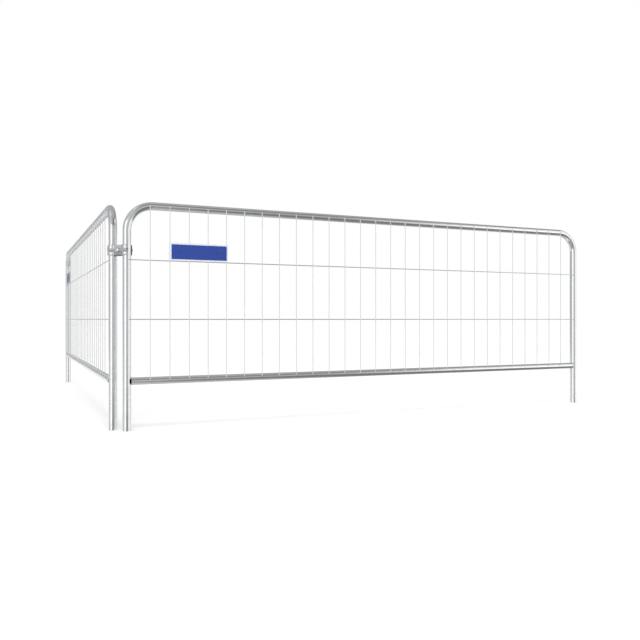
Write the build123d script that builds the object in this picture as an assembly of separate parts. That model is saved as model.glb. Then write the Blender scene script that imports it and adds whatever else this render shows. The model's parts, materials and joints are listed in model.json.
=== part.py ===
"""Two low temporary fence panels, coupled at a corner.

Each panel is one bent round tube with a welded bottom rail, a mesh of straight wires on its outer
face and a small sign plate clamped to the wires.  A two-shell coupler with one bolt holds the posts
of the two panels together, and both posts can turn in it.

Frame: +X runs along the front panel from its corner post, +Z is up, and the outer faces look to -Y
on the front panel and to -X on the side panel.  The origin is the centre of the front panel's corner
leg, at the ground.  All sizes are in millimetres.
"""

import math
import os

from build123d import *

# Bent frame tube
panel_height = 1160.0
post_spacing = 2943.0
tube_diameter = 41.5
tube_wall = 1.5
bend_radius = 130.0

# Bottom rail and the weld metal that joins it to the posts
rail_diameter = 38.0
rail_wall = 1.5
rail_height = 249.0
rail_lap = 1.0
weld_leg = 1.8
weld_wrap = 4.5
vent_height = 24.0
vent_depth = 0.5
vent_round = 8.0

# Wire mesh
wire_diameter = 4.0
cross_wire_diameter = 5.0
wire_pitch = 100.0
first_wire_x = 113.0
last_wire_margin = 110.0
upper_wire_height = 861.0
middle_wire_height = 561.0
wire_top_rise = 2.0
wire_foot_rise = 6.0
weld_bite = 0.4
foot_weld_bite = 0.8

# Sign plate and the fixings that clamp it to the wires behind it
wire_count_before_sign = 1
wire_count_behind_sign = 4
sign_overhang = 7.0
sign_height = 92.0
sign_thickness = 1.5
sign_corner_radius = 6.0
sign_lift = 0.5
strip_overhang = 5.0
strip_height = 18.0
strip_thickness = 2.0
sign_screw_diameter = 5.0
sign_screw_head_diameter = 10.0
sign_screw_head_height = 2.8
sign_screw_tail = 1.5
sign_nut_flats = 8.0
sign_nut_height = 4.0
sign_nut_chamfer = 0.4
screw_hole_clearance = 0.2

# Coupler
coupler_spacing = 85.0
coupler_drop = 250.0
corner_angle = 45.0
shell_height = 53.5
shell_depth = 6.0
shell_thickness = 2.5
shell_fold_radius = 1.5
shell_lip_angle = 50.0
shell_bend_radius = 15.0
shell_web_offset = 14.0
ridge_height = 19.0
ridge_depth = 3.0
seat_rim = 1.0
seat_taper = 45.0
saddle_clearance = 0.08
bolt_diameter = 12.0
bolt_head_diameter = 28.0
bolt_head_height = 6.0
bolt_neck_height = 4.0
bolt_hole_clearance = 0.25
bolt_chamfer = 1.2
bolt_tail = 2.0
head_rim = 0.8
washer_diameter = 24.0
washer_thickness = 2.5
nut_flats = 19.0
nut_height = 10.0
nut_chamfer = 0.8
nut_running_clearance = 0.05
jaw_travel = 15.0

# Sizes that follow from the ones above
tube_radius = tube_diameter / 2
rail_radius = rail_diameter / 2
wire_radius = wire_diameter / 2
cross_wire_radius = cross_wire_diameter / 2
top_axis_height = panel_height - tube_radius
rail_start = tube_radius - rail_lap
wire_span = post_spacing - last_wire_margin - first_wire_x
wire_count = int(wire_span // wire_pitch) + 1
wire_places = [first_wire_x + index * wire_pitch for index in range(wire_count)]
upright_y = -(tube_radius + wire_radius - weld_bite)
cross_y = upright_y + wire_radius + cross_wire_radius - weld_bite
upright_top = top_axis_height + wire_top_rise
upright_foot = rail_height + wire_foot_rise
foot_seat_y = upright_y + wire_radius - foot_weld_bite
rail_axis_y = foot_seat_y + math.sqrt(rail_radius**2 - wire_foot_rise**2)
sign_back_y = upright_y - wire_radius
sign_front_y = sign_back_y - sign_thickness
strip_front_y = upright_y + wire_radius
strip_back_y = strip_front_y + strip_thickness
sign_bottom = upper_wire_height + cross_wire_radius + sign_lift
sign_middle = sign_bottom + sign_height / 2
sign_wires = wire_places[wire_count_before_sign:][:wire_count_behind_sign]
coupler_height = panel_height - coupler_drop
saddle_radius = tube_radius + saddle_clearance
web_face = shell_web_offset + shell_depth
seat_face = web_face + ridge_depth
bolt_neck_width = bolt_diameter

os.makedirs("parts", exist_ok=True)


def rod(radius, start, end):
    """A solid round bar between two points."""
    axis = Vector(*end) - Vector(*start)
    return extrude(Plane(start, z_dir=axis) * Circle(radius), amount=axis.length)


def hex_nut(plane, flats, height, bore_radius, chamfer_size):
    """A hexagon nut standing on a plane, with its corners turned off at both ends."""
    blank = extrude(plane * RegularPolygon(flats / 2, 6, major_radius=False), amount=height)
    turned = extrude(plane * Circle(flats / math.sqrt(3)), amount=height)
    turned = chamfer(turned.edges().filter_by(GeomType.CIRCLE), chamfer_size)
    return (blank & turned) - extrude(plane * Circle(bore_radius), amount=height)


def domed_head(seat, diameter, height):
    """A low round head on a plane: a thin rim under the cap of a sphere."""
    radius = diameter / 2
    cap_height = height - head_rim
    ball_radius = (radius**2 + cap_height**2) / (2 * cap_height)
    ball = seat.offset(height - ball_radius) * Sphere(ball_radius)
    return ball & extrude(seat * Circle(radius), amount=height)


def bent_bar(radius):
    """A solid round bar along the inverted U of the frame."""
    corners = [(0, 0, 0), (0, 0, top_axis_height), (post_spacing, 0, top_axis_height), (post_spacing, 0, 0)]
    return sweep(Plane.XY * Circle(radius), FilletPolyline(*corners, radius=bend_radius))


def frame_tube():
    """The inverted U: two posts and the top run, bent from one tube that is open at both feet."""
    return bent_bar(tube_radius) - bent_bar(tube_radius - tube_wall)


def bottom_rail():
    """The rail, notched for the posts and welded round to them, with a vent left open in front."""
    start = (rail_start, rail_axis_y, rail_height)
    end = (post_spacing - rail_start, rail_axis_y, rail_height)
    bore = rod(rail_radius - rail_wall, (0, rail_axis_y, rail_height),
               (post_spacing, rail_axis_y, rail_height))
    weld_reach = rail_start + weld_leg
    rail = rod(rail_radius, start, end)
    for post_x, inward in ((0.0, 1), (post_spacing, -1)):
        foot = Plane((post_x, rail_axis_y, rail_height), z_dir=(inward, 0, 0))
        weld = loft([foot.offset(tube_radius - weld_wrap) * Circle(rail_radius + weld_leg),
                     foot.offset(weld_reach) * Circle(rail_radius)])
        post = rod(tube_radius, (post_x, 0, 0), (post_x, 0, panel_height))
        slit = Plane((post_x, rail_axis_y, rail_height), x_dir=(1, 0, 0), z_dir=(0, -1, 0))
        outline = RectangleRounded(2 * (rail_start + vent_depth), vent_height, vent_round)
        vent = extrude(slit * outline, amount=rail_diameter)
        rail = rail + weld - post - vent
    return rail - bore


def upright_wires():
    """The upright wires, each seated by its weld on the front of the top tube and of the rail."""
    frame = bent_bar(tube_radius)
    rail = rod(rail_radius, (0, rail_axis_y, rail_height), (post_spacing, rail_axis_y, rail_height))
    wires = []
    for x in wire_places:
        wire = rod(wire_radius, (x, upright_y, upright_foot), (x, upright_y, upright_top))
        wires.append(wire - frame - rail)
    return wires


def cross_wire(height, uprights):
    """One long wire behind the uprights, pressed into each of them and butted to both posts."""
    start = math.sqrt(tube_radius**2 - cross_y**2)
    wire = rod(cross_wire_radius, (start, cross_y, height), (post_spacing - start, cross_y, height))
    for post_x in (0.0, post_spacing):
        wire -= rod(tube_radius, (post_x, 0, 0), (post_x, 0, panel_height))
    for upright in uprights:
        wire -= upright
    return wire


def sign_screw_places():
    """Where the sign's two fixings go: midway between the outer pairs of the wires behind it."""
    return (sign_wires[0] + wire_pitch / 2, sign_wires[-1] - wire_pitch / 2)


def sign_plate():
    """The flat sign plate in front of the wires, with a hole for each fixing."""
    width = sign_wires[-1] - sign_wires[0] + 2 * sign_overhang
    middle_x = (sign_wires[0] + sign_wires[-1]) / 2
    face = Plane((middle_x, sign_back_y, sign_middle), x_dir=(1, 0, 0), z_dir=(0, -1, 0))
    plate = extrude(face * RectangleRounded(width, sign_height, sign_corner_radius),
                    amount=sign_thickness)
    hole_radius = sign_screw_diameter / 2 + screw_hole_clearance
    for x in sign_screw_places():
        plate -= rod(hole_radius, (x, strip_back_y, sign_middle), (x, sign_front_y, sign_middle))
    return plate


def sign_clamp_strips():
    """Flat strips behind the wires, each bridging the two wires beside its screw."""
    length = wire_pitch + 2 * strip_overhang
    hole_radius = sign_screw_diameter / 2 + screw_hole_clearance
    strips = []
    for x in sign_screw_places():
        face = Plane((x, strip_front_y, sign_middle), x_dir=(1, 0, 0), z_dir=(0, 1, 0))
        outline = SlotOverall(length, strip_height) - Circle(hole_radius)
        strips.append(extrude(face * outline, amount=strip_thickness))
    return strips


def sign_screws():
    """Round-headed screws that draw the sign plate and the strips together on the wires."""
    tail_y = strip_back_y + sign_nut_height + sign_screw_tail
    screws = []
    for x in sign_screw_places():
        shank = rod(sign_screw_diameter / 2, (x, sign_front_y, sign_middle), (x, tail_y, sign_middle))
        seat = Plane((x, sign_front_y, sign_middle), z_dir=(0, -1, 0))
        screws.append(shank + domed_head(seat, sign_screw_head_diameter, sign_screw_head_height))
    return screws


def sign_nuts():
    """The nuts behind the strips."""
    nuts = []
    for x in sign_screw_places():
        seat = Plane((x, strip_back_y, sign_middle), z_dir=(0, 1, 0))
        bore_radius = sign_screw_diameter / 2
        nuts.append(hex_nut(seat, sign_nut_flats, sign_nut_height, bore_radius, sign_nut_chamfer))
    return nuts


def panel_pieces():
    """All pieces of one panel, in the panel's own frame, by name."""
    uprights = upright_wires()
    return {
        "frame_tube": [frame_tube()],
        "bottom_rail": [bottom_rail()],
        "upright_wires": uprights,
        "upper_cross_wire": [cross_wire(upper_wire_height, uprights)],
        "middle_cross_wire": [cross_wire(middle_wire_height, uprights)],
        "sign_plate": [sign_plate()],
        "sign_clamp_strips": sign_clamp_strips(),
        "sign_screws": sign_screws(),
        "sign_nuts": sign_nuts(),
    }


def shell_path():
    """The plan line of a shell's inner face: saddle, bend, web, bend, saddle."""
    half = coupler_spacing / 2
    bend_rise = shell_web_offset + shell_bend_radius
    bend_reach = saddle_radius + shell_bend_radius
    bend_run = math.sqrt(bend_reach**2 - bend_rise**2)
    turn = math.degrees(math.atan2(bend_run, bend_rise))
    web_half = half - bend_run
    return Wire([
        CenterArc((-half, 0), saddle_radius, 90 + shell_lip_angle, -(shell_lip_angle + turn)),
        CenterArc((-web_half, bend_rise), shell_bend_radius, 270 - turn, turn),
        Line((-web_half, shell_web_offset), (web_half, shell_web_offset)),
        CenterArc((web_half, bend_rise), shell_bend_radius, 270, turn),
        CenterArc((half, 0), saddle_radius, 90 + turn, -(shell_lip_angle + turn)),
    ])


def channel_line(inset):
    """A shell's section line at a depth in its sheet: flange, face with its ridge, flange."""
    half_height = shell_height / 2 - inset
    half_ridge = ridge_height / 2
    face = shell_depth - inset
    return [(-half_height, 0), (-half_height, face), (-half_ridge, face), (0, face + ridge_depth),
            (half_ridge, face), (half_height, face), (half_height, 0)]


def coupler_shell():
    """One pressed shell: a channel with a ridge along its face, bent round both posts, with a bolt seat."""
    path = shell_path()
    lip = Plane(path @ 0, x_dir=(0, 0, -1), z_dir=path % 0)
    section = make_face(Polyline(*channel_line(0), *reversed(channel_line(shell_thickness)), close=True))
    half_sheet = shell_thickness / 2
    flange = shell_height / 2 - half_sheet
    folds = [fold for fold in section.vertices() if fold.Y > half_sheet and abs(fold.X) < flange]
    section = fillet(folds, shell_fold_radius)
    rims = [rim for rim in section.vertices() if rim.Y > half_sheet and abs(rim.X) > flange]
    section = fillet(rims, shell_fold_radius + shell_thickness)
    shell = sweep(lip * section, path)
    base_radius = bolt_head_diameter / 2 + seat_rim + ridge_depth * math.tan(math.radians(seat_taper))
    base = Plane((0, web_face, 0), z_dir=(0, 1, 0))
    seat = extrude(base * Circle(base_radius), amount=ridge_depth, taper=seat_taper)
    hole_width = bolt_neck_width + 2 * bolt_hole_clearance
    hole = Pos(0, seat_face, 0) * Box(hole_width, 2 * seat_face, hole_width)
    return shell + seat - Pos(0, -shell_thickness, 0) * seat - hole


def coupler_bolt():
    """The round-headed bolt: its square neck keeps it from turning in the outer shell."""
    seat = Plane((0, -seat_face, 0), z_dir=(0, -1, 0))
    length = 2 * seat_face + washer_thickness + nut_height + jaw_travel + bolt_tail
    shank = extrude(seat * Circle(bolt_diameter / 2), amount=-length)
    shank = chamfer(shank.edges().sort_by(Axis.Y)[-1], bolt_chamfer)
    neck = extrude(seat * Rectangle(bolt_neck_width, bolt_neck_width), amount=-bolt_neck_height)
    return shank + neck + domed_head(seat, bolt_head_diameter, bolt_head_height)


def coupler_washer():
    """The flat washer between the inner shell and the nut."""
    seat = Plane((0, seat_face, 0), z_dir=(0, 1, 0))
    hole_radius = bolt_diameter / 2 + bolt_hole_clearance
    return extrude(seat * (Circle(washer_diameter / 2) - Circle(hole_radius)), amount=washer_thickness)


def coupler_nut():
    """The nut that turns on the bolt and draws the two shells together."""
    seat = Plane((0, seat_face + washer_thickness, 0), z_dir=(0, 1, 0))
    bore_radius = bolt_diameter / 2 + nut_running_clearance
    return hex_nut(seat, nut_flats, nut_height, bore_radius, nut_chamfer)


def coupler_pieces():
    """All pieces of the coupler, in its own frame: X between the posts, outer face to -Y."""
    shell = coupler_shell()
    return {
        "coupler_outer_shell": [Rot(0, 0, 180) * shell],
        "coupler_inner_shell": [shell],
        "coupler_bolt": [coupler_bolt()],
        "coupler_washer": [coupler_washer()],
        "coupler_nut": [coupler_nut()],
    }


def write_pieces(pieces, place, prefix=""):
    """Place the named pieces and write one file for each."""
    for name, solids in pieces.items():
        placed = [place * solid for solid in solids]
        shape = placed[0] if len(placed) == 1 else Compound(children=placed)
        export_step(shape, f"parts/{prefix}{name}.step")


turn = math.radians(corner_angle)
side_post_x = -coupler_spacing * math.cos(turn)
side_post_y = coupler_spacing * math.sin(turn)
side_place = Pos(side_post_x, side_post_y + post_spacing, 0) * Rot(0, 0, -90)
coupler_place = Pos(side_post_x / 2, side_post_y / 2, coupler_height) * Rot(0, 0, -corner_angle)

panel = panel_pieces()
write_pieces(panel, Pos(0, 0, 0), "front_")
write_pieces(panel, side_place, "side_")
write_pieces(coupler_pieces(), coupler_place)
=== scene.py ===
"""Two low fence panels of bright galvanised tube, coupled at a corner, dressed for a studio picture.

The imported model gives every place.  This script draws the tubes, wires, welds, signs, screws and the bolt
again as smooth meshes on those places, gives the pressed coupler its zinc, and sets the pale studio round
them.  All lengths are in metres.
"""

import json
import logging
import math
from dataclasses import dataclass
from enum import Enum
from functools import cache
from typing import Any, Iterable, Sequence

import bmesh
import bpy
from bmesh.types import BMEdge, BMesh, BMVert
from bpy.types import Material, Object
from mathutils import Matrix, Vector

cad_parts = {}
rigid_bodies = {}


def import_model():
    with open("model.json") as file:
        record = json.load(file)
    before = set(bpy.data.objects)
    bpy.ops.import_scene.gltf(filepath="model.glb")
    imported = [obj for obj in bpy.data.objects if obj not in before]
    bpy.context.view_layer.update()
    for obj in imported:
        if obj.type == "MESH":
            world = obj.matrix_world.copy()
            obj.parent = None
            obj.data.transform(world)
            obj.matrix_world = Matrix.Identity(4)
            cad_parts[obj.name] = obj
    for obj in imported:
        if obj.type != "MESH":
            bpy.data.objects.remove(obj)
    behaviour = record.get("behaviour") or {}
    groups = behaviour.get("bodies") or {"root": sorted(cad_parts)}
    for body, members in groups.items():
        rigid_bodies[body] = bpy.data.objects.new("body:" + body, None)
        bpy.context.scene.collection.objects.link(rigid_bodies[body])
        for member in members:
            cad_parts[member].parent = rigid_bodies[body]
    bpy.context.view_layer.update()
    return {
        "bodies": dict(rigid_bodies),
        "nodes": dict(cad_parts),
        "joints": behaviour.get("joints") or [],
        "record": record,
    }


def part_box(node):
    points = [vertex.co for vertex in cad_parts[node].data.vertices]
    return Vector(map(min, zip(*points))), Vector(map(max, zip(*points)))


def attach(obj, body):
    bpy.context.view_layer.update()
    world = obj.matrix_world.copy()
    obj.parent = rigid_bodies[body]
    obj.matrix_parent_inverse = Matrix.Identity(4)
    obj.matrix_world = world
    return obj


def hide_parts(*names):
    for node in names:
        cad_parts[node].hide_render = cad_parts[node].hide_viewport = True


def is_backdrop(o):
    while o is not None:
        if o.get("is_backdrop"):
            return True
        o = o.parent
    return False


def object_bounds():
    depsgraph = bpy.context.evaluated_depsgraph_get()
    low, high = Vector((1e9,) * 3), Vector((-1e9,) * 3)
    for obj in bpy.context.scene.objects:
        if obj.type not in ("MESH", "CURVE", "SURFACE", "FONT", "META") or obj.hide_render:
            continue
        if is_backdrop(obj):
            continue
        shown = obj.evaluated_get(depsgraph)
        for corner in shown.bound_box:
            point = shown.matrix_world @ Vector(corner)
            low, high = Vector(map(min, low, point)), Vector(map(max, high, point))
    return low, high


LOG = logging.getLogger("fence")
MERGE_DISTANCE = 1e-6
SHARP_ANGLE = math.radians(40)
FLAT_FACE_WEIGHT = 100
FRONT_NORMAL_Y = -0.999
SECOND_PAINT = 1

Colour = tuple[float, float, float]
Point = tuple[float, float, float]
Pair = tuple[float, float]


class Slot(Enum):
    """The record's material slot names; the drawn pieces are not given them here."""

    TUBE = "galvanised_tube"
    WIRE = "zinc_wire"
    SIGN = "sign_sheet"
    HARDWARE = "zinc_hardware"


class Body(Enum):
    """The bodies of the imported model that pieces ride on."""

    FRONT = "front_panel"
    SIDE = "side_panel"
    COUPLER = "coupler"


@dataclass
class Signal:
    """One output socket of a node tree; arithmetic on it adds Math nodes."""

    bench: "NodeBench"
    socket: bpy.types.NodeSocket

    def _math(self, operation: str, first: Any, second: Any) -> "Signal":
        """One Math node on two values or signals."""
        return self.bench.node("ShaderNodeMath", {"operation": operation}, {0: first, 1: second})

    def __add__(self, other: Any) -> "Signal":
        """self + other"""
        return self._math("ADD", self, other)

    def __sub__(self, other: Any) -> "Signal":
        """self - other"""
        return self._math("SUBTRACT", self, other)

    def __rsub__(self, other: Any) -> "Signal":
        """other - self"""
        return self._math("SUBTRACT", other, self)

    def __mul__(self, other: Any) -> "Signal":
        """self * other"""
        return self._math("MULTIPLY", self, other)

    __radd__ = __add__
    __rmul__ = __mul__

    def larger(self, other: Any) -> "Signal":
        """The larger of two signals."""
        return self._math("MAXIMUM", self, other)


class NodeBench:
    """Makes the nodes of one tree and links them."""

    def __init__(self, tree: bpy.types.NodeTree) -> None:
        """Start on an emptied tree."""
        self.tree = tree
        self.tree.nodes.clear()

    def node(self, kind: str, settings: dict[str, Any] | None = None,
             sockets: dict[int | str, Any] | None = None, output: int | str = 0) -> Signal | None:
        """Add one node.

        Args:
            kind: The node's type, as Blender names it.
            settings: Properties that are set first; "stops" fills a ramp with (place, grey) pairs.
            sockets: Values or signals for the node's inputs, by name or number.
            output: Which output the signal stands for.

        Returns:
            The signal of that output, or None for a node without outputs.
        """
        made = self.tree.nodes.new(kind)
        for name, value in (settings or {}).items():
            if name == "stops":
                self._fill_ramp(made.color_ramp, value)
            else:
                setattr(made, name, value)
        for key, value in (sockets or {}).items():
            if isinstance(value, Signal):
                self.tree.links.new(value.socket, made.inputs[key])
            else:
                made.inputs[key].default_value = value
        return Signal(self, made.outputs[output]) if len(made.outputs) else None

    @staticmethod
    def _fill_ramp(ramp: bpy.types.ColorRamp, stops: Sequence[Pair]) -> None:
        """Give a ramp its grey stops, eased from one to the next.

        Args:
            ramp: The ramp of a new node.
            stops: The (place, grey) pairs, lowest place first.
        """
        ramp.interpolation = "EASE"
        while len(ramp.elements) < len(stops):
            ramp.elements.new(1.0)
        for element, (place, grey) in zip(ramp.elements, stops):
            element.position = place
            element.color = (grey, grey, grey, 1.0)

    def place(self) -> Signal:
        """The point of the surface, in the object's own frame, which is the part's frame."""
        return self.node("ShaderNodeTexCoord", output="Object")

    def noise(self, size: float, detail: float = 2.0) -> Signal:
        """Soft noise from 0 to 1, with lumps of about the given size."""
        sockets = {"Vector": self.place(), "Scale": 1 / size, "Detail": detail}
        return self.node("ShaderNodeTexNoise", None, sockets, "Fac")

    def blend(self, factor: Signal, first: Colour, second: Colour) -> Signal:
        """A colour between two, by a factor from 0 to 1."""
        sockets = {0: factor, 6: (*first, 1.0), 7: (*second, 1.0)}
        return self.node("ShaderNodeMix", {"data_type": "RGBA"}, sockets, 2)

    def ramp(self, factor: Signal, stops: Sequence[Pair]) -> Signal:
        """A grey curve over a factor, eased between its stops."""
        return self.node("ShaderNodeValToRGB", {"stops": stops}, {"Fac": factor})

    def seen(self) -> Signal:
        """Tell the rays that show a surface from those that it only lights.

        Returns:
            1 for rays from the camera, a mirror or glass, otherwise 0.
        """
        camera, mirror, glass = (self.node("ShaderNodeLightPath", output=f"Is {ray} Ray")
                                 for ray in ("Camera", "Glossy", "Transmission"))
        return camera.larger(mirror).larger(glass)

    def surface(self, shader: Signal) -> None:
        """End a material with its shader."""
        self.node("ShaderNodeOutputMaterial", None, {"Surface": shader})


def new_material(name: str) -> tuple[Material, NodeBench]:
    """Start a material.

    Args:
        name: Its name.

    Returns:
        The material and the bench of its emptied node tree.
    """
    material = bpy.data.materials.new(name)
    material.use_nodes = True
    return material, NodeBench(material.node_tree)


@dataclass(frozen=True)
class ZincFinish:
    """Zinc on steel: crystal spangle, cloudy patches, a fine grain, and painted shade as a darker patch
    round a point.
    """

    name: str
    light: Colour = (0.82, 0.83, 0.84)
    dark: Colour = (0.73, 0.74, 0.76)
    roughness: float = 0.15
    roughness_spread: float = 0.07
    spangle: float = 0.010
    spangle_blur: float = 0.3
    spangle_share: float = 0.45
    spangle_relief: float = 0.5
    cloud: float = 0.09
    cloud_detail: float = 4.0
    grain: float = 0.0011
    grain_detail: float = 3.0
    grain_height: float = 0.00002
    wear_start: float = 0.25
    wear_end: float = 0.7
    mottle: float = 1.0
    # painted shade: a patch round this point, out to this reach with a soft edge, is darkened towards the
    # dark colour
    painted_shade_centre: Point = (0.0, 0.0, 0.0)
    painted_shade_reach: float = 0.0
    painted_shade_edge: float = 0.004

    def material(self) -> Material:
        """Build the node material.

        Returns:
            The material.
        """
        material, bench = new_material(self.name)
        cells = bench.node("ShaderNodeTexVoronoi", {"feature": "SMOOTH_F1"}, {
            "Vector": bench.place(), "Scale": 1 / self.spangle, "Smoothness": self.spangle_blur}, "Color")
        crystal = bench.node("ShaderNodeSeparateColor", None, {"Color": cells}, "Red")
        clouds = bench.noise(self.cloud, self.cloud_detail)
        grain = bench.noise(self.grain, self.grain_detail)
        tone = self.spangle_share * crystal + (1 - self.spangle_share) * clouds
        # painted shade: the mask is 1 within the reach of the centre and fades over the edge
        away = bench.node("ShaderNodeVectorMath", {"operation": "DISTANCE"},
                          {0: bench.place(), 1: self.painted_shade_centre}, "Value")
        painted_shade_mask = bench.ramp((self.painted_shade_reach - away) * (1 / self.painted_shade_edge), [(0.0, 0.0), (1.0, 1.0)])
        # random mottle from the spangle and clouds, with the painted shade laid over it
        mottle_and_painted_shade = bench.ramp(tone, [(self.wear_start, 0.0), (self.wear_end, self.mottle)]).larger(painted_shade_mask)
        polish = (self.roughness - self.roughness_spread / 2) + self.roughness_spread * tone
        bump = bench.node("ShaderNodeBump", None, {
            "Strength": 1.0, "Distance": self.grain_height,
            "Height": grain + self.spangle_relief * crystal})
        bench.surface(bench.node("ShaderNodeBsdfPrincipled", None, {
            "Base Color": bench.blend(mottle_and_painted_shade, self.light, self.dark),
            "Metallic": 1.0, "Roughness": polish, "Normal": bump}))
        return material


@dataclass(frozen=True)
class EnamelFinish:
    """Glossy stoved paint on sheet: a faint mottle, orange peel, a little dust and a clear top coat."""

    name: str
    colour: Colour
    mottle: float = 0.06
    cloud: float = 0.05
    cloud_detail: float = 3.0
    peel: float = 0.0018
    peel_height: float = 0.00002
    peel_strength: float = 0.5
    dust: float = 0.012
    dust_detail: float = 5.0
    roughness: float = 0.32
    roughness_spread: float = 0.12
    coat: float = 0.25
    coat_roughness: float = 0.12

    def material(self) -> Material:
        """Build the node material.

        Returns:
            The material.
        """
        material, bench = new_material(self.name)
        clouds = bench.noise(self.cloud, self.cloud_detail)
        peel = bench.noise(self.peel)
        dust = bench.noise(self.dust, self.dust_detail)
        deep = tuple(part * (1 - self.mottle) for part in self.colour)
        bump = bench.node("ShaderNodeBump", None, {
            "Strength": self.peel_strength, "Distance": self.peel_height, "Height": peel})
        bench.surface(bench.node("ShaderNodeBsdfPrincipled", None, {
            "Base Color": bench.blend(clouds, deep, self.colour),
            "Roughness": self.roughness + self.roughness_spread * (dust - 0.5),
            "Coat Weight": self.coat, "Coat Roughness": self.coat_roughness, "Normal": bump}))
        return material


TUBE_ZINC = ZincFinish("tube_zinc", mottle=0.65)
# painted shade: the rail's bore is painted near black for the shade inside the tube
BORE_PAINTED_SHADE = ZincFinish("bore_painted_shade", light=(0.035, 0.035, 0.038), dark=(0.018, 0.018, 0.02),
                       roughness=0.7)
WIRE_ZINC = ZincFinish("wire_zinc", roughness=0.26, spangle=0.005, mottle=0.6, grain_height=0.00001)
WELD_ZINC = ZincFinish("weld_zinc", light=(0.74, 0.75, 0.76), dark=(0.5, 0.51, 0.53), roughness=0.36,
                       spangle=0.003, cloud=0.012, grain_height=0.00008)
# painted shade on the coupler: a darker patch on the web below the bolt, where the web lies in shade
PRESSED_ZINC = ZincFinish("pressed_zinc", light=(0.75, 0.76, 0.77), dark=(0.43, 0.44, 0.46),
                          roughness=0.17, spangle=0.004, cloud=0.03, mottle=0.3,
                          painted_shade_centre=(-0.03, 0.03, 0.886), painted_shade_reach=0.034)
PLATED_ZINC = ZincFinish("plated_zinc", light=(0.8, 0.81, 0.83), dark=(0.64, 0.65, 0.68), roughness=0.2,
                         spangle=0.002, cloud=0.012, grain=0.0006, grain_height=0.00001)
SIGN_WHITE = EnamelFinish("sign_white", (0.69, 0.72, 0.79))
SIGN_BLUE = EnamelFinish("sign_blue", (0.015, 0.051, 0.29))


@cache
def paint_of(finish: ZincFinish | EnamelFinish) -> Material:
    """The material of a finish, made only once."""
    return finish.material()


def links_among(verts: Iterable[BMVert]) -> list[BMEdge]:
    """The edges that join these vertices to one another."""
    chosen = set(verts)
    return list({edge for vert in chosen for edge in vert.link_edges if edge.other_vert(vert) in chosen})


def geometry(items: Iterable[Any], kind: type) -> list[Any]:
    """The items of one kind out of an operator's mixed output."""
    return [item for item in items if isinstance(item, kind)]


def ease(bm: BMesh, edges: Iterable[BMEdge], offset: float) -> None:
    """Round edges over by a small offset."""
    bmesh.ops.bevel(bm, geom=list(edges), offset=offset, affect="EDGES", segments=2, profile=0.5,
                    material=-1)


def run(bm: BMesh, edges: list[BMEdge], step: Vector) -> list[BMEdge]:
    """Draw open edges out into a straight wall.

    Args:
        bm: The mesh.
        edges: The edges to draw out.
        step: How far, and in which direction.

    Returns:
        The edges at the far end.
    """
    made = geometry(bmesh.ops.extrude_edge_only(bm, edges=edges)["geom"], BMVert)
    bmesh.ops.translate(bm, verts=made, vec=step)
    return links_among(made)


def quarter_bend(bm: BMesh, edges: list[BMEdge], centre: Vector, steps: int) -> list[BMEdge]:
    """Draw open edges a quarter turn round an axis along Y.

    Args:
        bm: The mesh.
        edges: The edges to draw round.
        centre: A point on the axis.
        steps: How many rings the bend has.

    Returns:
        The edges at the far end.
    """
    verts = list({vert for edge in edges for vert in edge.verts})
    made = bmesh.ops.spin(bm, geom=verts + edges, cent=centre, axis=(0, 1, 0), angle=math.pi / 2,
                          steps=steps)
    return links_among(geometry(made["geom_last"], BMVert))


def tube_start(bm: BMesh, radius: float, wall: float, sides: int, place: Matrix) -> list[BMEdge]:
    """The two open circles, outside and bore, that a tube is drawn from along the local Z axis."""
    made = [bmesh.ops.create_circle(bm, cap_ends=False, radius=reach, segments=sides, matrix=place)
            for reach in (radius, radius - wall)]
    return [edge for circle in made for edge in links_among(circle["verts"])]


def close_tube(bm: BMesh, rims: Sequence[list[BMEdge]], edge_round: float) -> None:
    """Join a tube's outside to its bore at both ends.

    Args:
        bm: The mesh.
        rims: The circles at each end.
        edge_round: How far the ends' edges are rounded.
    """
    for rim in rims:
        bmesh.ops.bridge_loops(bm, edges=rim)
    bmesh.ops.recalc_face_normals(bm, faces=bm.faces)
    ease(bm, [edge for rim in rims for edge in rim], edge_round)


def turned(bm: BMesh, profile: Sequence[Pair], sides: int, place: Matrix) -> list[BMVert]:
    """A form turned round the local Z axis from half its outline.

    Args:
        bm: The mesh that gets the form.
        profile: The outline as (radius, height) pairs; it starts and ends on the axis.
        sides: How many sides the form has.
        place: Where it goes.

    Returns:
        The form's vertices.
    """
    before = set(bm.verts)
    line = [bm.verts.new((radius, 0.0, height)) for radius, height in profile]
    edges = [bm.edges.new(pair) for pair in zip(line, line[1:])]
    bmesh.ops.spin(bm, geom=line + edges, cent=(0, 0, 0), axis=(0, 0, 1), angle=2 * math.pi, steps=sides,
                   use_merge=True)
    fresh = [vert for vert in bm.verts if vert not in before]
    bmesh.ops.remove_doubles(bm, verts=fresh, dist=MERGE_DISTANCE)
    fresh = [vert for vert in bm.verts if vert not in before]
    bmesh.ops.transform(bm, matrix=place, verts=fresh)
    return fresh


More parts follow.
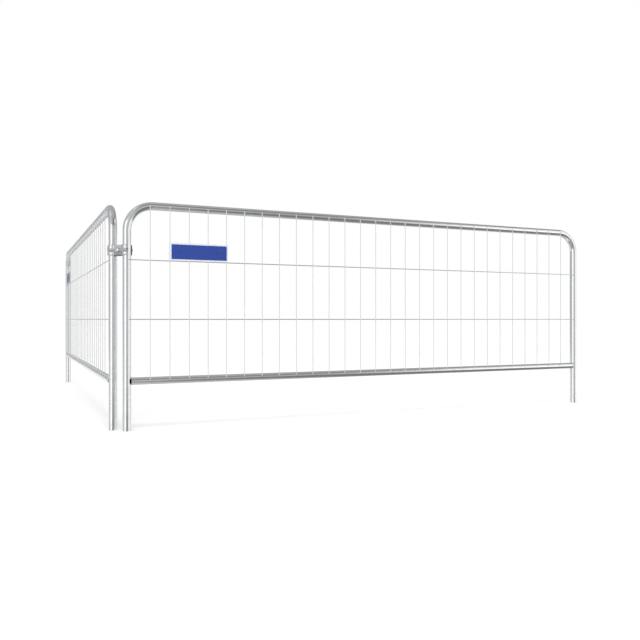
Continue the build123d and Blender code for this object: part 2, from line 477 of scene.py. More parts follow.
@dataclass(frozen=True)
class Thread:
    """A screw thread's ridge; its section and its run-out are shares of the pitch."""

    crest: float
    root: float
    pitch: float
    length: float
    clear: float = 0.0002
    sides: int = 18
    bite: float = 0.1
    foot_start: float = 0.06
    land_start: float = 0.44
    run_out: float = 0.2

    def lay(self, bm: BMesh, tail: Matrix) -> None:
        """Wind the ridge round a core, from just above its tail, run out at both ends.

        Args:
            bm: The mesh that gets the ridge.
            tail: The core's tail end, with its Z axis up the core.
        """
        turns = max(1, round(self.length / self.pitch) - 1)
        foot = self.root - self.bite * self.pitch
        before = set(bm.verts)
        outline = [(foot, self.foot_start), (self.crest, self.land_start),
                   (self.crest, 1 - self.land_start), (foot, 1 - self.foot_start)]
        face = bm.faces.new([bm.verts.new((radius, 0.0, share * self.pitch)) for radius, share in outline])
        bmesh.ops.spin(bm, geom=[face, *face.edges, *face.verts], cent=(0, 0, 0), axis=(0, 0, 1),
                       dvec=(0, 0, self.pitch / self.sides), angle=2 * math.pi * turns,
                       steps=self.sides * turns)
        fresh = [vert for vert in bm.verts if vert not in before]
        for vert in fresh:
            reach = math.hypot(vert.co.x, vert.co.y)
            inset = min(vert.co.z, (turns + 1) * self.pitch - vert.co.z) / self.pitch
            limit = self.root + (self.crest - self.root) * min(1.0, max(0.0, inset - self.run_out))
            if reach > limit:
                vert.co.x *= limit / reach
                vert.co.y *= limit / reach
        bmesh.ops.transform(bm, matrix=tail @ Matrix.Translation((0, 0, self.clear)), verts=fresh)


def new_object(name: str, bm: BMesh, paints: Sequence[Material]) -> Object:
    """Put a finished bmesh into the scene.

    Args:
        name: The object's name.
        bm: The mesh; it is used up.
        paints: The materials, in the order of the faces' material numbers.

    Returns:
        The object.
    """
    mesh = bpy.data.meshes.new(name)
    bm.to_mesh(mesh)
    bm.free()
    for paint in paints:
        mesh.materials.append(paint)
    made = bpy.data.objects.new(name, mesh)
    bpy.context.scene.collection.objects.link(made)
    return made


def make_piece(name: str, bm: BMesh, place: Matrix, paints: Sequence[Material], body: Body,
               stands_for: Sequence[str] = ()) -> None:
    """Turn a finished bmesh into a piece that rides on a body.

    Args:
        name: The piece's name.
        bm: The shaped mesh, in the frame of its sub-assembly; it is used up.
        place: From that frame to the part's frame.
        paints: The materials, as new_object takes them.
        body: The body that the piece rides on.
        stands_for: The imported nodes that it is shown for.
    """
    bmesh.ops.recalc_face_normals(bm, faces=bm.faces)
    bmesh.ops.transform(bm, matrix=place, verts=bm.verts)
    piece = new_object(name, bm, paints)
    piece.data.shade_smooth()
    piece.data.set_sharp_from_angle(angle=SHARP_ANGLE)
    level = piece.modifiers.new("level_long_faces", "WEIGHTED_NORMAL")
    level.mode = "FACE_AREA"
    level.weight = FLAT_FACE_WEIGHT
    level.keep_sharp = True
    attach(piece, body.value)
    if stands_for:
        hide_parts(*stands_for)
    LOG.info("%s rides on %s, %d faces", name, body.value, len(piece.data.polygons))


def dress_node(node: Object, paint: Material) -> None:
    """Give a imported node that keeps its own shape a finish.

    Args:
        node: The node.
        paint: The finish's material.
    """
    for slot in node.material_slots:
        slot.material = paint
    LOG.info("%s keeps its shape, finish %s", node.name, paint.name)


@dataclass(frozen=True)
class PanelSizes:
    """The sizes that both panels share, in a panel's own frame: X along it, outer face to -Y."""

    post_spacing: float
    tube_radius: float
    height: float
    rail_height: float
    first_wire: float
    wire_count: int
    wire_radius: float
    cross_radius: float
    wire_foot: float
    wire_top: float
    upright_y: float
    cross_y: float
    cross_heights: Pair
    sign_low: Vector
    sign_high: Vector
    screw_tail: float
    tube_wall: float = 0.0015
    tube_edge: float = 0.0004
    tube_sides: int = 48
    bend_radius: float = 0.130
    bend_steps: int = 20
    rail_radius: float = 0.019
    rail_wall: float = 0.0015
    rail_edge: float = 0.0003
    rail_lap: float = 0.0005
    bore_depth: float = 0.00135
    wire_pitch: float = 0.1
    wire_edge: float = 0.0004
    wire_sides: int = 16
    foot_bite: float = 0.0008
    cross_bite: float = 0.001
    sign_edge: float = 0.0003
    sign_corner: float = 0.006
    corner_steps: int = 8
    field_left: float = 0.0138
    field_right: float = 0.0069
    field_under: float = 0.0069
    field_over: float = 0.0085
    screws_between: tuple[int, int] = (1, 4)

    @classmethod
    def from_frame(cls, record: dict[str, Any]) -> "PanelSizes":
        """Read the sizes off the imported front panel.

        Args:
            record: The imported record, whose mounts give the posts.

        Returns:
            The sizes.
        """
        mounts = {mount["name"]: mount for mount in record["mounts"]}
        wires_low, wires_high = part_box("front_upright_wires")
        upper_low, upper_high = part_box("front_upper_cross_wire")
        middle_low, middle_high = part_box("front_middle_cross_wire")
        rail_low, rail_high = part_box("front_bottom_rail")
        sign_low, sign_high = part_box("front_sign_plate")
        wire_radius = (wires_high.y - wires_low.y) / 2
        first_wire = wires_low.x + wire_radius
        return cls(
            post_spacing=mounts["front_end_leg"]["pos_m"][0],
            tube_radius=mounts["front_corner_leg"]["dims"]["r_mm"] / 1000,
            height=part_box("front_frame_tube")[1].z,
            rail_height=(rail_low.z + rail_high.z) / 2,
            first_wire=first_wire,
            wire_count=round((wires_high.x - wire_radius - first_wire) / cls.wire_pitch) + 1,
            wire_radius=wire_radius,
            cross_radius=(upper_high.z - upper_low.z) / 2,
            wire_foot=wires_low.z,
            wire_top=wires_high.z,
            upright_y=wires_high.y - wire_radius,
            cross_y=(upper_low.y + upper_high.y) / 2,
            cross_heights=((upper_low.z + upper_high.z) / 2, (middle_low.z + middle_high.z) / 2),
            sign_low=sign_low,
            sign_high=sign_high,
            screw_tail=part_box("front_sign_screws")[1].y,
        )

    @property
    def top_axis(self) -> float:
        """The height of the top run's axis."""
        return self.height - self.tube_radius

    @property
    def rail_y(self) -> float:
        """The rail's axis, which lies so that the wires' feet meet its upper front."""
        seat = self.upright_y + self.wire_radius - self.foot_bite
        return seat + math.sqrt(self.rail_radius**2 - (self.wire_foot - self.rail_height) ** 2)

    @property
    def wire_places(self) -> list[float]:
        """Where the upright wires stand along the panel."""
        return [self.first_wire + index * self.wire_pitch for index in range(self.wire_count)]

    @property
    def upright_ends(self) -> list[tuple[Vector, Vector]]:
        """The foot and the top of every upright wire."""
        return [(Vector((x, self.upright_y, self.wire_foot)), Vector((x, self.upright_y, self.wire_top)))
                for x in self.wire_places]

    def cross_ends(self, height: float) -> tuple[Vector, ...]:
        """Both ends of the cross wire at some height, butted to the posts."""
        inset = self.post_face(self.cross_y) - self.cross_bite
        return tuple(Vector((x, self.cross_y, height)) for x in (inset, self.post_spacing - inset))

    def post_face(self, y: float) -> float:
        """How far a post's inner face lies from its axis, along the panel, at an offset across it."""
        return math.sqrt(max(0.0, self.tube_radius**2 - y**2))


@dataclass(frozen=True)
class RailBead:
    """The weld bead round a rail's end; crown and slope are (along the rail, above it) from the post."""

    half_turn: float = math.radians(142)
    steps: int = 144
    reach: float = 0.0026
    post_bite: float = 0.0012
    rise: float = 0.001
    crown: Pair = (0.0008, 0.0009)
    slope: Pair = (0.0018, 0.0005)
    toe_bite: float = 0.0001
    undercut: float = 0.001
    wrap: float = 0.0045
    ripples: int = 24
    ripple_from: float = 0.0003
    ripple_swell: float = 0.008

    def outline(self, rail: float, bore: float) -> list[Pair]:
        """The bead's section, from the rail's bore out over its outside.

        Args:
            rail: The rail's radius.
            bore: The bore's radius.

        Returns:
            The (distance along the rail, radius) pairs, from the post's face and the rail's axis.
        """
        top = [(along, rail + above) for along, above in (self.crown, self.slope)]
        return [(-self.post_bite, bore), (-self.post_bite, rail + self.rise), *top,
                (self.reach, rail - self.toe_bite), (self.reach - self.undercut, bore)]

    def swell(self, angle: float) -> float:
        """How much the ripples widen the bead at an angle round the rail."""
        return 1 + self.ripple_swell * math.sin(2 * math.pi * self.ripples / self.half_turn * angle)


@dataclass(frozen=True)
class MeshNuggets:
    """The mesh's weld nuggets, in radii of the wire that they hold."""

    width: float = 1.5
    depth: float = 0.55
    top_height: float = 1.8
    foot_height: float = 1.05
    foot_lift: float = 0.9
    crossing: float = 1.35
    butt: float = 1.4
    meridians: int = 8
    parallels: int = 6


@dataclass(frozen=True)
class SignScrew:
    """A socket-headed screw of the sign, along its own Z axis, with its head's seat at height 0."""

    head_radius: float = 0.005
    head_height: float = 0.0028
    head_rim: float = 0.0006
    dome_steps: int = 6
    socket_radius: float = 0.0017
    socket_depth: float = 0.0016
    shank_radius: float = 0.0025
    end_radius: float = 0.00225
    tip_radius: float = 0.001875
    tip_length: float = 0.0004
    crest: float = 0.00245
    root: float = 0.0021
    pitch: float = 0.0008
    plain_length: float = 0.006
    sides: int = 24

    def outline(self, length: float) -> list[Pair]:
        """Half the screw's outline, from its socket over the head to the tail.

        Args:
            length: How far the shank reaches below the head's seat.

        Returns:
            The (radius, height) pairs.
        """
        share = self.socket_radius / self.head_radius
        crown = self.head_height * (1 - share**2)
        angles = [math.acos(share) * step / self.dome_steps for step in range(self.dome_steps)]
        dome = [(self.head_radius * math.cos(angle),
                 self.head_rim + (self.head_height - self.head_rim) * math.sin(angle)) for angle in angles]
        return [(0.0, crown - self.socket_depth), (self.socket_radius, crown - self.socket_depth),
                (self.socket_radius, crown + self.head_rim / 2), *reversed(dome), (self.head_radius, 0.0),
                (self.shank_radius, 0.0), (self.end_radius, self.tip_length - length),
                (self.tip_radius, -length), (0.0, -length)]

    def thread(self, length: float) -> Thread:
        """The thread on a shank of some length, which stays plain below the head."""
        return Thread(self.crest, self.root, self.pitch, length - self.plain_length)


@dataclass
class Panel:
    """One fence panel: bent tube, welded rail, wire mesh and sign."""

    prefix: str
    body: Body
    place: Matrix
    sizes: PanelSizes
    bead: RailBead = RailBead()
    nuggets: MeshNuggets = MeshNuggets()
    screw: SignScrew = SignScrew()

    def build(self, nodes: dict[str, Object]) -> None:
        """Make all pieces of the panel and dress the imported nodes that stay.

        Args:
            nodes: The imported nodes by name.
        """
        # bore is the near-black painted shade for the inside of the rail
        zinc, bore, wire, weld, plated, white, blue = (paint_of(finish) for finish in (
            TUBE_ZINC, BORE_PAINTED_SHADE, WIRE_ZINC, WELD_ZINC, PLATED_ZINC, SIGN_WHITE, SIGN_BLUE))
        thin, thick = self.sizes.wire_radius, self.sizes.cross_radius
        upper, middle = ([self.sizes.cross_ends(height)] for height in self.sizes.cross_heights)
        self._add("bent_tube", self.bent_tube(), [zinc], "frame_tube")
        self._add("rail_tube", self.rail_tube(), [zinc, bore], "bottom_rail")
        self._add("rail_welds", self.rail_welds(), [weld])
        self._add("uprights", self.wires(thin, self.sizes.upright_ends), [wire],
                  "upright_wires")
        self._add("upper_wire", self.wires(thick, upper), [wire], "upper_cross_wire")
        self._add("middle_wire", self.wires(thick, middle), [wire], "middle_cross_wire")
        self._add("mesh_welds", self.mesh_welds(), [weld])
        self._add("sign", self.sign(), [white, blue], "sign_plate")
        self._add("sign_bolts", self.sign_bolts(), [plated, blue], "sign_screws")
        for node in ("sign_clamp_strips", "sign_nuts"):
            dress_node(nodes[f"{self.prefix}_{node}"], plated)

    def _add(self, name: str, bm: BMesh, paints: Sequence[Material],
             node: str | None = None) -> None:
        """Place one finished mesh as a piece of this panel."""
        stands_for = [f"{self.prefix}_{node}"] if node else []
        make_piece(f"{self.prefix}_{name}", bm, self.place, paints, self.body, stands_for)

    def bent_tube(self) -> BMesh:
        """Draw the inverted U from its foot round both bends, with a real wall and eased rims.

        Returns:
            The mesh.
        """
        size = self.sizes
        bm = bmesh.new()
        leg = size.top_axis - size.bend_radius
        top = size.post_spacing - 2 * size.bend_radius
        start = tube_start(bm, size.tube_radius, size.tube_wall, size.tube_sides, Matrix())
        edges = run(bm, start, Vector((0, 0, leg)))
        edges = quarter_bend(bm, edges, Vector((size.bend_radius, 0, leg)), size.bend_steps)
        edges = run(bm, edges, Vector((top, 0, 0)))
        edges = quarter_bend(bm, edges, Vector((size.bend_radius + top, 0, leg)), size.bend_steps)
        end = run(bm, edges, Vector((0, 0, -leg)))
        close_tube(bm, (start, end), size.tube_edge)
        return bm

    def rail_tube(self) -> BMesh:
        """Draw the rail, whose bore is painted near black as painted shade, and whose front stands a slit
        away from the posts at both ends.

        Returns:
            The mesh.
        """
        size = self.sizes
        bm = bmesh.new()
        cut = size.tube_radius - size.rail_lap
        place = Matrix.Translation((cut, size.rail_y, size.rail_height))
        place = place @ Matrix.Rotation(math.pi / 2, 4, "Y")
        start = tube_start(bm, size.rail_radius, size.rail_wall, size.tube_sides, place)
        end = run(bm, start, Vector((size.post_spacing - 2 * cut, 0, 0)))
        close_tube(bm, (start, end), size.rail_edge)
        for face in bm.faces:
            spot = face.calc_center_median()
            reach = math.hypot(spot.y - size.rail_y, spot.z - size.rail_height)
            # painted shade: the faces of the bore take the near-black paint
            if reach < size.rail_radius - size.bore_depth:
                face.material_index = SECOND_PAINT
        return bm

    def rail_welds(self) -> BMesh:
        """Lay the rippled bead round both rail ends, open at the vent in front.

        Returns:
            The mesh.
        """
        size, bead = self.sizes, self.bead
        bm = bmesh.new()
        outline = bead.outline(size.rail_radius, size.rail_radius - size.rail_wall)
        points = [bm.verts.new((size.tube_radius + along, radius, 0.0)) for along, radius in outline]
        section = bm.faces.new(points)
        bmesh.ops.rotate(bm, verts=points, cent=(0, 0, 0), matrix=Matrix.Rotation(-bead.half_turn, 3, "X"))
        bmesh.ops.spin(bm, geom=[section, *section.edges, *section.verts], cent=(0, 0, 0), axis=(1, 0, 0),
                       angle=2 * bead.half_turn, steps=bead.steps)
        for vert in bm.verts:
            self._lay_weld_point(vert)
        ready = list(bm.verts) + list(bm.edges) + list(bm.faces)
        far = geometry(bmesh.ops.duplicate(bm, geom=ready)["geom"], BMVert)
        bmesh.ops.scale(bm, vec=(-1, 1, 1), verts=far)
        bmesh.ops.translate(bm, vec=(size.post_spacing, 0, 0), verts=far)
        return bm

    def _lay_weld_point(self, vert: BMVert) -> None:
        """Move one point of a bead from its plain turned form onto the post, and ripple it.

        Args:
            vert: The point, with the rail's axis as X axis.
        """
        size, bead = self.sizes, self.bead
        if math.hypot(vert.co.y, vert.co.z) > size.rail_radius + bead.ripple_from:
            swell = bead.swell(math.atan2(vert.co.z, vert.co.y))
            vert.co.y *= swell
            vert.co.z *= swell
        y = vert.co.y + size.rail_y
        share = min(1.0, max(0.0, (size.tube_radius + bead.reach - vert.co.x) / bead.reach))
        vert.co.x += share * max(size.post_face(y) - size.tube_radius, -bead.wrap)
        vert.co.y = y
        vert.co.z += size.rail_height

    def wires(self, radius: float, ends: Iterable[tuple[Vector, Vector]]) -> BMesh:
        """Draw straight wires, with their end edges eased.

        Args:
            radius: The wires' radius.
            ends: The two end points of each wire.

        Returns:
            The mesh.
        """
        sides = self.sizes.wire_sides
        bm = bmesh.new()
        for start, end in ends:
            axis = end - start
            turn = axis.to_track_quat("Z", "Y").to_matrix().to_4x4()
            place = Matrix.Translation((start + end) / 2) @ turn
            made = bmesh.ops.create_cone(bm, cap_ends=True, segments=sides, radius1=radius,
                                         radius2=radius, depth=axis.length, matrix=place)
            caps = {face for vert in made["verts"] for face in vert.link_faces if len(face.verts) == sides}
            ease(bm, {edge for face in caps for edge in face.edges}, self.sizes.wire_edge)
        return bm

    def mesh_welds(self) -> BMesh:
        """Lay the flattened nuggets where wires meet the tubes, the posts and one another.

        Returns:
            The mesh.
        """
        size, nugget = self.sizes, self.nuggets
        bm = bmesh.new()
        thin, thick = size.wire_radius, size.cross_radius
        back = size.upright_y + thin
        upright_welds = [
            (size.top_axis, nugget.width, nugget.top_height),
            (size.wire_foot + nugget.foot_lift * thin, nugget.width, nugget.foot_height),
            *((height, nugget.crossing, nugget.crossing) for height in size.cross_heights)]
        inset = size.post_face(size.cross_y)
        spots = [(Vector((x, back, height)), thin * Vector((width, nugget.depth, tall)))
                 for x in size.wire_places for height, width, tall in upright_welds]
        spots += [(Vector((x, size.cross_y, height)), thick * Vector((nugget.butt, 1.0, nugget.butt)))
                  for height in size.cross_heights for x in (inset, size.post_spacing - inset)]
        for centre, radii in spots:
            place = Matrix.Translation(centre) @ Matrix.Diagonal((*radii, 1.0))
            bmesh.ops.create_uvsphere(bm, u_segments=nugget.meridians, v_segments=nugget.parallels,
                                      radius=1.0, matrix=place)
        return bm

    def sign(self) -> BMesh:
        """Shape the sign plate: rounded sheet with a blue field inside a white border.

        Returns:
            The mesh.
        """
        size = self.sizes
        low, high = size.sign_low, size.sign_high
        middle = (low + high) / 2
        bm = bmesh.new()
        frame = Matrix.Translation((middle.x, low.y, middle.z)) @ Matrix.Rotation(math.pi / 2, 4, "X")
        frame = frame @ Matrix.Diagonal((high.x - low.x, high.z - low.z, 1.0, 1.0))
        points = bmesh.ops.create_grid(bm, x_segments=1, y_segments=1, size=0.5, matrix=frame)["verts"]
        bmesh.ops.bevel(bm, geom=points, offset=size.sign_corner, affect="VERTICES",
                        segments=size.corner_steps, profile=0.5, material=-1)
        made = bmesh.ops.extrude_face_region(bm, geom=list(bm.faces), use_keep_orig=True)["geom"]
        bmesh.ops.translate(bm, vec=(0, high.y - low.y, 0), verts=geometry(made, BMVert))
        bmesh.ops.recalc_face_normals(bm, faces=bm.faces)
        rims = [edge for edge in bm.edges
                if abs(edge.verts[0].co.y - edge.verts[1].co.y) < MERGE_DISTANCE]
        ease(bm, rims, size.sign_edge)
        self._print_field(bm)
        return bm

    def _print_field(self, bm: BMesh) -> None:
        """Cut the blue field out of the plate's front face and give it the second paint.

        Args:
            bm: The plate's mesh.
        """
        size = self.sizes
        low = size.sign_low + Vector((size.field_left, 0, size.field_under))
        high = size.sign_high - Vector((size.field_right, 0, size.field_over))
        for axis in (Vector((1, 0, 0)), Vector((0, 0, 1))):
            for cut in (low, high):
                front = [face for face in bm.faces if face.normal.y < FRONT_NORMAL_Y]
                parts = [*front, *{edge for face in front for edge in face.edges},
                         *{vert for face in front for vert in face.verts}]
                bmesh.ops.bisect_plane(bm, geom=parts, dist=MERGE_DISTANCE, plane_co=cut, plane_no=axis)
        for face in bm.faces:
            spot = face.calc_center_median()
            inside = low.x < spot.x < high.x and low.z < spot.z < high.z
            if face.normal.y < FRONT_NORMAL_Y and inside:
                face.material_index = SECOND_PAINT

    def sign_bolts(self) -> BMesh:
        """Shape the sign's two screws: socket heads in the field's colour, threaded behind the strips.

        Returns:
            The mesh.
        """
        size, screw = self.sizes, self.screw
        bm = bmesh.new()
        length = size.screw_tail - size.sign_low.y
        height = (size.sign_low.z + size.sign_high.z) / 2
        left, right = (size.wire_places[index] for index in size.screws_between)
        for x in (left + size.wire_pitch / 2, right - size.wire_pitch / 2):
            place = Matrix.Translation((x, size.sign_low.y, height)) @ Matrix.Rotation(math.pi / 2, 4, "X")
            fresh = turned(bm, screw.outline(length), screw.sides, place)
            for face in {face for vert in fresh for face in vert.link_faces}:
                if face.calc_center_median().y < size.sign_low.y:
                    face.material_index = SECOND_PAINT
            screw.thread(length).lay(bm, place @ Matrix.Translation((0, 0, -length)))
        return bm


@dataclass
class Coupler:
    """The clamp coupler: two pressed shells, bolt, washer and nut, in a frame with the bolt along Y."""

    centre: Vector
    turn: float
    seat_face: float = 0.023
    bolt_radius: float = 0.006
    bolt_length: float = 0.0755
    bolt_sides: int = 40
    bolt_chamfer: float = 0.0008
    head_radius: float = 0.014
    head_height: float = 0.006
    head_rim: float = 0.0008
    head_draft: float = 0.0003
    dome_steps: int = 10
    neck_width: float = 0.012
    neck_length: float = 0.004
    neck_edge: float = 0.0006
    thread_length: float = 0.046
    thread_pitch: float = 0.00175
    thread_root: float = 0.00502

    def build(self, nodes: dict[str, Object]) -> None:
        """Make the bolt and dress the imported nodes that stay.

        Args:
            nodes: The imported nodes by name.
        """
        plated, pressed = paint_of(PLATED_ZINC), paint_of(PRESSED_ZINC)
        place = Matrix.Translation(self.centre) @ Matrix.Rotation(self.turn, 4, "Z")
        make_piece("coupler_cup_bolt", self.bolt(), place, [plated], Body.COUPLER,
                   ["coupler_bolt"])
        for shell in ("coupler_outer_shell", "coupler_inner_shell"):
            dress_node(nodes[shell], pressed)
        for fixing in ("coupler_washer", "coupler_nut"):
            dress_node(nodes[fixing], plated)

    def bolt(self) -> BMesh:
        """Shape the cup-headed bolt with a square neck and a rolled thread.

        Returns:
            The mesh.
        """
        bm = bmesh.new()
        place = Matrix.Translation((0, -self.seat_face, 0)) @ Matrix.Rotation(math.pi / 2, 4, "X")
        turned(bm, self._bolt_outline(), self.bolt_sides, place)
        neck = Matrix.Translation((0, self.neck_length / 2 - self.seat_face, 0))
        neck = neck @ Matrix.Diagonal((self.neck_width, self.neck_length, self.neck_width, 1.0))
        made = bmesh.ops.create_cube(bm, size=1.0, matrix=neck)["verts"]
        ease(bm, links_among(made), self.neck_edge)
        thread = Thread(self.bolt_radius, self.thread_root, self.thread_pitch, self.thread_length)
        thread.lay(bm, place @ Matrix.Translation((0, 0, -self.bolt_length)))
        return bm

    def _bolt_outline(self) -> list[Pair]:
        """Half the bolt's outline, from the crown of its head to its tail.

        Returns:
            The (radius, height) pairs, with the head's seat at height 0.
        """
        cap = self.head_height - self.head_rim
        ball = (self.head_radius**2 + cap**2) / (2 * cap)
        half = math.asin(self.head_radius / ball)
        angles = [half * step / self.dome_steps for step in range(self.dome_steps + 1)]
        dome = [(ball * math.sin(angle), self.head_height - ball * (1 - math.cos(angle)))
                for angle in angles]
        tail = -self.bolt_length
        plain = tail + self.thread_length
        return [*dome, (self.head_radius - self.head_draft, 0.0), (self.bolt_radius, 0.0),
                (self.bolt_radius, plain), (self.thread_root, plain - self.bolt_chamfer),
                (self.thread_root, tail + self.bolt_chamfer),
                (self.thread_root - self.bolt_chamfer, tail), (0.0, tail)]


@dataclass(frozen=True)
class TentPanel:
    """One cloth of the tent round the set, which shows in bright metal and nowhere else.

    Azimuths run in degrees from the camera's side (-Y) towards the right (+X), elevations from the
    horizon up.
    """

    name: str
    azimuths: Pair
    elevations: Pair
    glow: float
    radius: float = 60.0
    step: float = 6.0

    def build(self, centre: Vector) -> None:
        """Hang the cloth.

        Args:
            centre: The middle of the tent.
        """
        bm = bmesh.new()
        low, high = (math.radians(angle) for angle in self.elevations)
        first, last = (math.radians(angle) for angle in self.azimuths)
        arc = bm.verts.new((0, -self.radius, 0))
        bmesh.ops.rotate(bm, verts=[arc], cent=(0, 0, 0), matrix=Matrix.Rotation(-low, 3, "X"))
        bmesh.ops.spin(bm, geom=[arc], cent=(0, 0, 0), axis=(-1, 0, 0), angle=high - low,
                       steps=self._steps(self.elevations))
        bmesh.ops.rotate(bm, verts=bm.verts, cent=(0, 0, 0), matrix=Matrix.Rotation(first, 3, "Z"))
        bmesh.ops.spin(bm, geom=[*bm.verts, *bm.edges], cent=(0, 0, 0), axis=(0, 0, 1),
                       angle=last - first, steps=self._steps(self.azimuths))
        material, bench = new_material(self.name)
        bench.surface(bench.node("ShaderNodeEmission", None, {"Strength": self.glow}))
        material.cycles.emission_sampling = "NONE"
        cloth = new_object(self.name, bm, [material])
        cloth.location = centre
        cloth.visible_camera = False
        cloth.visible_diffuse = False
        cloth.visible_transmission = False
        cloth.visible_shadow = False
        cloth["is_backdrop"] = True

    def _steps(self, angles: Pair) -> int:
        """How many facets a stretch of the tent has."""
        return max(1, round((angles[1] - angles[0]) / self.step))


@dataclass(frozen=True)
class Softbox:
    """A soft rectangular lamp, which metal doesn't show."""

    name: str
    place: Vector
    width: float
    height: float
    watts: float

    def build(self, target: Vector) -> None:
        """Hang the lamp.

        Args:
            target: Where it is aimed.
        """
        light = bpy.data.lights.new(self.name, "AREA")
        light.shape = "RECTANGLE"
        light.size = self.width
        light.size_y = self.height
        light.energy = self.watts
        lamp = bpy.data.objects.new(self.name, light)
        lamp.location = self.place
        lamp.rotation_euler = (target - self.place).to_track_quat("-Z", "Y").to_euler()
        lamp.visible_camera = False
        lamp.visible_glossy = False
        bpy.context.scene.collection.objects.link(lamp)


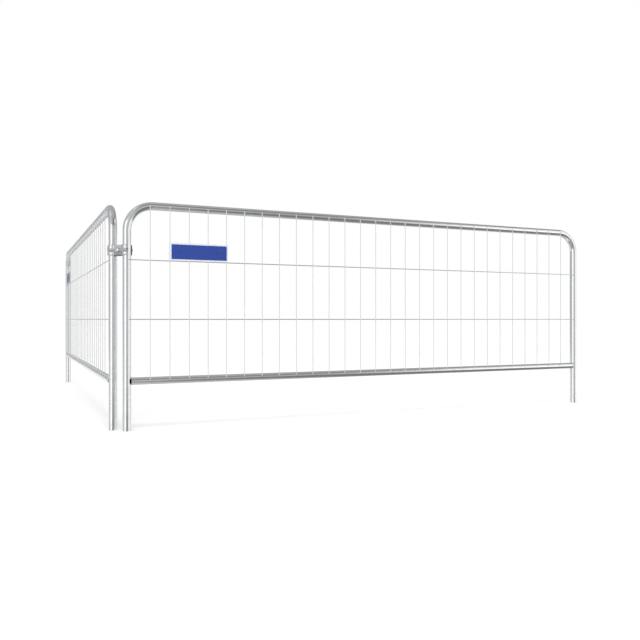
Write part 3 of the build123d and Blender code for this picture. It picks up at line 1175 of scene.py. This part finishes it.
@dataclass
class Studio:
    """The pale floor, white surroundings, soft lamps, grey tent and the camera."""

    middle: Vector
    ambient: float = 0.62
    floor_drop: float = 0.0005
    floor_size: float = 120.0
    floor_colour: Colour = (0.8, 0.8, 0.8)
    brightest_floor: Pair = (-0.2, -2.4)
    lift_reach: float = 16.0
    lift_stops: tuple[Pair, ...] = ((0.0, 0.11), (0.1, 0.15), (0.2, 0.31), (0.34, 0.43), (0.6, 0.485),
                                    (1.0, 0.525))
    lens: float = 39.05
    sensor: float = 36.0
    camera_place: Point = (-0.5396, -3.590, 0.562)
    camera_turn: float = -24.1
    shift_down: float = -0.00125

    def build(self) -> None:
        """Set up everything round the object."""
        self._world()
        self._floor()
        self._tent()
        self._lamps()
        self._camera()
        bpy.context.scene.view_settings.view_transform = "Standard"

    def _world(self) -> None:
        """White where it is seen, softer as a light."""
        world = bpy.data.worlds.new("studio_world")
        world.use_nodes = True
        bench = NodeBench(world.node_tree)
        strength = self.ambient + (1 - self.ambient) * bench.seen()
        glow = bench.node("ShaderNodeBackground", None, {"Color": (1, 1, 1, 1), "Strength": strength})
        bench.node("ShaderNodeOutputWorld", None, {"Surface": glow})
        bpy.context.scene.world = world

    def _floor(self) -> None:
        """A pale floor that takes the object's shadow, lifted to an even white where it is seen.

        The lift grows with the distance from where the lamps light the floor most.
        """
        bm = bmesh.new()
        bmesh.ops.create_grid(bm, x_segments=1, y_segments=1, size=self.floor_size / 2)
        material, bench = new_material("studio_floor")
        away = bench.node("ShaderNodeVectorMath", {"operation": "LENGTH"}, {0: bench.place()}, "Value")
        lift = bench.ramp(away * (1 / self.lift_reach), self.lift_stops)
        paint = bench.node("ShaderNodeBsdfDiffuse", None, {"Color": (*self.floor_colour, 1.0)})
        glow = bench.node("ShaderNodeEmission", None, {"Color": lift, "Strength": bench.seen()})
        bench.surface(bench.node("ShaderNodeAddShader", None, {0: paint, 1: glow}))
        floor = new_object("studio_floor", bm, [material])
        floor.location = (*self.brightest_floor, -self.floor_drop)
        floor.visible_glossy = False
        floor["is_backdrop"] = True

    def _tent(self) -> None:
        """Grey cloths all round, which draw the dark and bright lines along the tubes."""
        for row in (
            ("front_left_cloth", (-28, -12), (-7, 28), 0.66),
            ("front_cloth", (-12, 12), (-7, 28), 0.62),
            ("front_right_cloth", (12, 28), (-7, 28), 0.47),
            ("right_edge_cloth", (28, 34), (-14, 28), 0.74),
            ("right_window", (34, 48), (-12, 16), 1.35),
            ("right_cloth", (48, 95), (-14, 42), 1.05),
            ("back_right_cloth", (120, 180), (-10, 66), 0.43),
            ("back_left_cloth", (180, 240), (-3, 66), 0.5),
            ("left_back_cloth", (-120, -100), (-14, 28), 0.55),
            ("left_cloth", (-100, -68), (-14, 28), 0.74),
            ("left_window", (-68, -38), (-14, 28), 1.5),
            ("left_front_cloth", (-38, -28), (-14, 28), 0.87),
            ("upper_far_left_cloth", (-120, -16), (28, 55), 0.62),
            ("upper_front_cloth", (-16, 43), (28, 55), 0.24),
            ("upper_right_cloth", (43, 120), (52, 66), 0.43),
            ("right_shade_cloth", (43, 120), (42, 52), 0.31),
            ("right_back_cloth", (95, 120), (7, 42), 0.36),
            ("upper_left_cloth", (-60, 43), (55, 66), 0.44),
            ("zenith_cloth", (-180, 180), (66, 90), 0.52),
            ("lower_far_left_cloth", (-112, -28), (-66, -14), 0.4),
            ("lower_front_cloth", (-28, 12), (-27, -7), 0.33),
            ("lower_left_cloth", (-28, 12), (-66, -27), 0.58),
            ("lower_middle_cloth", (12, 28), (-44, -7), 0.21),
            ("lower_steep_cloth", (12, 28), (-66, -44), 0.45),
            ("lower_right_cloth", (28, 112), (-66, -14), 0.23),
            ("lower_back_cloth", (112, 248), (-66, -42), 0.47),
            ("back_right_floor_cloth", (112, 180), (-42, -10), 0.85),
            ("back_left_floor_cloth", (180, 248), (-42, -3), 0.95),
            ("left_nadir_cloth", (-180, 0), (-90, -66), 1.2),
            ("right_nadir_cloth", (0, 180), (-90, -66), 0.65),
        ):
            TentPanel(*row).build(self.middle)

    def _lamps(self) -> None:
        """Soft lamps left, right and above, for the paint and the floor's shadow."""
        for lamp in (
            Softbox("left_softbox", Vector((-3.6, -2.4, 1.5)), width=2.4, height=2.6, watts=45.0),
            Softbox("right_softbox", Vector((5.6, -3.0, 1.7)), width=3.0, height=2.8, watts=60.0),
            Softbox("top_softbox", Vector((-0.4, -2.6, 4.6)), width=2.0, height=2.0, watts=120.0),
        ):
            lamp.build(self.middle)

    def _camera(self) -> None:
        """The camera, level, at the photograph's viewing angle."""
        data = bpy.data.cameras.new("studio_camera")
        data.lens = self.lens
        data.sensor_width = self.sensor
        data.shift_y = self.shift_down
        data.dof.use_dof = False
        camera = bpy.data.objects.new("studio_camera", data)
        camera.location = self.camera_place
        camera.rotation_euler = (math.pi / 2, 0, math.radians(self.camera_turn))
        bpy.context.scene.collection.objects.link(camera)
        bpy.context.scene.camera = camera


def clear_scene() -> None:
    """Remove whatever the new file starts with."""
    for item in list(bpy.data.objects):
        bpy.data.objects.remove(item)


def main() -> None:
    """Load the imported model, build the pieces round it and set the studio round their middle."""
    logging.basicConfig(level=logging.INFO, format="%(name)s: %(message)s")
    clear_scene()
    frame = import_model()
    mounts = {mount["name"]: Vector(mount["pos_m"]) for mount in frame["record"]["mounts"]}
    sizes = PanelSizes.from_frame(frame["record"])
    side_place = Matrix.Translation(mounts["side_end_leg"]) @ Matrix.Rotation(-math.pi / 2, 4, "Z")
    Panel("front", Body.FRONT, Matrix(), sizes).build(frame["nodes"])
    Panel("side", Body.SIDE, side_place, sizes).build(frame["nodes"])
    between = mounts["side_corner_leg"] - mounts["front_corner_leg"]
    shell_low, shell_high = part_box("coupler_outer_shell")
    centre = (mounts["side_corner_leg"] + mounts["front_corner_leg"]) / 2
    centre.z = (shell_low.z + shell_high.z) / 2
    Coupler(centre, math.atan2(-between.y, -between.x)).build(frame["nodes"])
    cad_low, cad_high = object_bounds()
    Studio((cad_low + cad_high) / 2).build()


if __name__ == "__main__":
    main()
